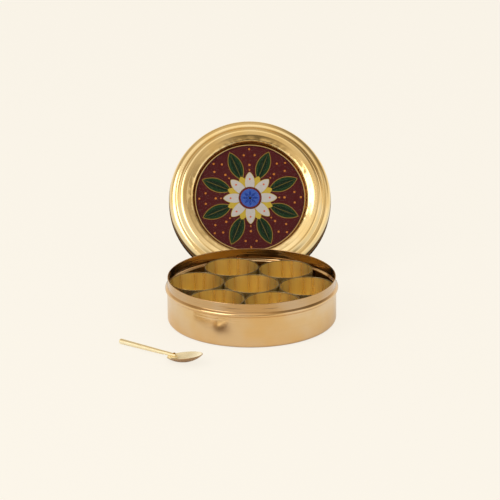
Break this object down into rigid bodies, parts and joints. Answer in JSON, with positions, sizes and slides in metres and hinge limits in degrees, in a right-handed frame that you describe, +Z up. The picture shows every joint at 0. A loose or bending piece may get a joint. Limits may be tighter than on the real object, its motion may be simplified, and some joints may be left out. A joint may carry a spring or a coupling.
{
  "type": "round spice box with bowls, lid and spoon",
  "caption": "Round brass drum holding small loose bowls in a ring, with a domed lid bearing a round picture, and a small riveted spoon.",
  "frame": {"origin": "middle of the drum's flat bottom, on the surface it stands on", "axes": "+Z up along the drum's axis, +X to the right seen from the front, -Y towards the viewer; the lid leans behind at +Y"},
  "size_m": [0.2576, 0.4048, 0.1811],
  "materials": {
    "brass_box": "polished spun brass",
    "brass_lid": "polished spun brass",
    "brass_bowl": "satin brushed brass",
    "brass_trim": "polished brass strip",
    "brass_spoon": "polished cast brass",
    "brass_rivet": "hammered brass, slightly dull",
    "pad": "plain card backing",
    "print": "printed card",
    "cover": "clear gloss sheet"
  },
  "bodies": {
    "drum": {"box_body": "brass_box"},
    "bowl_center": {"bowl_center": "brass_bowl"},
    "bowl_ring_1": {"bowl_ring_1": "brass_bowl"},
    "bowl_ring_2": {"bowl_ring_2": "brass_bowl"},
    "bowl_ring_3": {"bowl_ring_3": "brass_bowl"},
    "bowl_ring_4": {"bowl_ring_4": "brass_bowl"},
    "bowl_ring_5": {"bowl_ring_5": "brass_bowl"},
    "bowl_ring_6": {"bowl_ring_6": "brass_bowl"},
    "lid": {"lid_shell": "brass_lid", "picture_pad": "pad", "picture_disc": "print", "picture_cover": "cover", "picture_band": "brass_trim"},
    "spoon": {"spoon_handle": "brass_spoon", "spoon_bowl": "brass_spoon", "spoon_rivet": "brass_rivet"}
  },
  "joints": [
    {"name": "bowl_center_lift", "type": "slide", "parent": "drum", "child": "bowl_center", "axis": [0, 0, 1], "range_m": [0, 0.07]},
    {"name": "bowl_ring_1_lift", "type": "slide", "parent": "drum", "child": "bowl_ring_1", "axis": [0, 0, 1], "range_m": [0, 0.07]},
    {"name": "bowl_ring_2_lift", "type": "slide", "parent": "drum", "child": "bowl_ring_2", "axis": [0, 0, 1], "range_m": [0, 0.07]},
    {"name": "bowl_ring_3_lift", "type": "slide", "parent": "drum", "child": "bowl_ring_3", "axis": [0, 0, 1], "range_m": [0, 0.07]},
    {"name": "bowl_ring_4_lift", "type": "slide", "parent": "drum", "child": "bowl_ring_4", "axis": [0, 0, 1], "range_m": [0, 0.07]},
    {"name": "bowl_ring_5_lift", "type": "slide", "parent": "drum", "child": "bowl_ring_5", "axis": [0, 0, 1], "range_m": [0, 0.07]},
    {"name": "bowl_ring_6_lift", "type": "slide", "parent": "drum", "child": "bowl_ring_6", "axis": [0, 0, 1], "range_m": [0, 0.07]},
    {"name": "lid_lift", "type": "slide", "parent": "drum", "child": "lid", "axis": [0, 0, 1], "range_m": [0, 0.1]},
    {"name": "spoon_lift", "type": "slide", "parent": "drum", "child": "spoon", "axis": [0, 0, 1], "range_m": [0, 0.1]}
  ]
}
